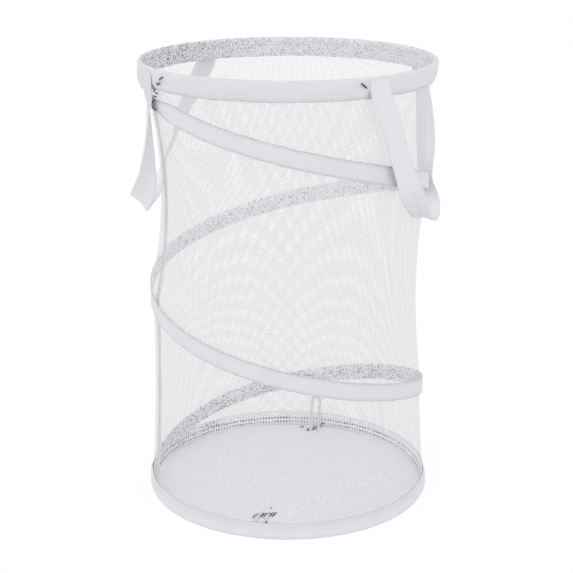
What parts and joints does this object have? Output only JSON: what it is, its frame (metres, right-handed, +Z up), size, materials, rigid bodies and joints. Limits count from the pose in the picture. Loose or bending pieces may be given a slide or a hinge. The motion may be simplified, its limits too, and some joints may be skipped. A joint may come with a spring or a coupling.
{
  "type": "pop up laundry hamper",
  "caption": "Round pop up laundry hamper: a net wall held open by wire hoops and a spiral wire in cloth sleeves, with webbing handles at the rim and elastic closure loops inside.",
  "frame": {"origin": "centre of the underside, on the surface that the hamper stands on", "axes": "+Z up along the hamper's axis; the handles are on +X and -X; the front, with the spiral falling from left to right, faces -Y"},
  "size_m": [0.4024, 0.36, 0.552],
  "materials": {
    "sleeve_cloth": "plain woven polyester tape, off white",
    "panel_cloth": "plain woven polyester, off white",
    "net": "open white polyester net",
    "webbing": "flat polyester webbing, off white",
    "elastic": "flat woven elastic, white",
    "spring_steel": "bare spring steel wire",
    "tip_plastic": "soft white cap"
  },
  "bodies": {
    "base": {"base_hoop": "spring_steel", "base_hoop_ferrule": "spring_steel", "base_sleeve": "sleeve_cloth", "base_panel": "panel_cloth", "mesh_wall": "net", "side_seam_tape": "sleeve_cloth", "spiral_wire": "spring_steel", "spiral_wire_top_tip": "tip_plastic", "spiral_wire_bottom_tip": "tip_plastic", "spiral_sleeve": "sleeve_cloth", "front_closure_loop_end": "sleeve_cloth", "back_closure_loop_end": "sleeve_cloth"},
    "rim": {"rim_hoop": "spring_steel", "rim_hoop_ferrule": "spring_steel", "rim_sleeve": "sleeve_cloth", "right_handle_front_end": "webbing", "right_handle_back_end": "webbing", "left_handle_front_end": "webbing", "left_handle_back_end": "webbing"},
    "right_handle": {"right_handle_strap": "webbing"},
    "left_handle": {"left_handle_strap": "webbing"},
    "front_loop": {"front_closure_loop": "elastic"},
    "back_loop": {"back_closure_loop": "elastic"}
  },
  "joints": [
    {"name": "collapse", "type": "slide", "parent": "base", "child": "rim", "axis": [0, 0, -1], "range_m": [0, 0.49], "stiffness_N_per_m": 30, "springref_m": -0.15, "deforming": ["mesh_wall", "side_seam_tape", "spiral_wire", "spiral_wire_top_tip", "spiral_sleeve"]},
    {"name": "right_handle_swing", "type": "hinge", "parent": "rim", "child": "right_handle", "pos_m": [0.152, 0, 0.5265], "axis": [0, -1, 0], "range_deg": [0, 170]},
    {"name": "left_handle_swing", "type": "hinge", "parent": "rim", "child": "left_handle", "pos_m": [-0.152, 0, 0.5265], "axis": [0, 1, 0], "range_deg": [0, 170]},
    {"name": "front_closure_loop_swing", "type": "hinge", "parent": "base", "child": "front_loop", "pos_m": [0, -0.118, 0.0032], "axis": [-1, 0, 0], "range_deg": [0, 175]},
    {"name": "back_closure_loop_swing", "type": "hinge", "parent": "base", "child": "back_loop", "pos_m": [0, 0.15, 0.0032], "axis": [1, 0, 0], "range_deg": [0, 100]}
  ]
}
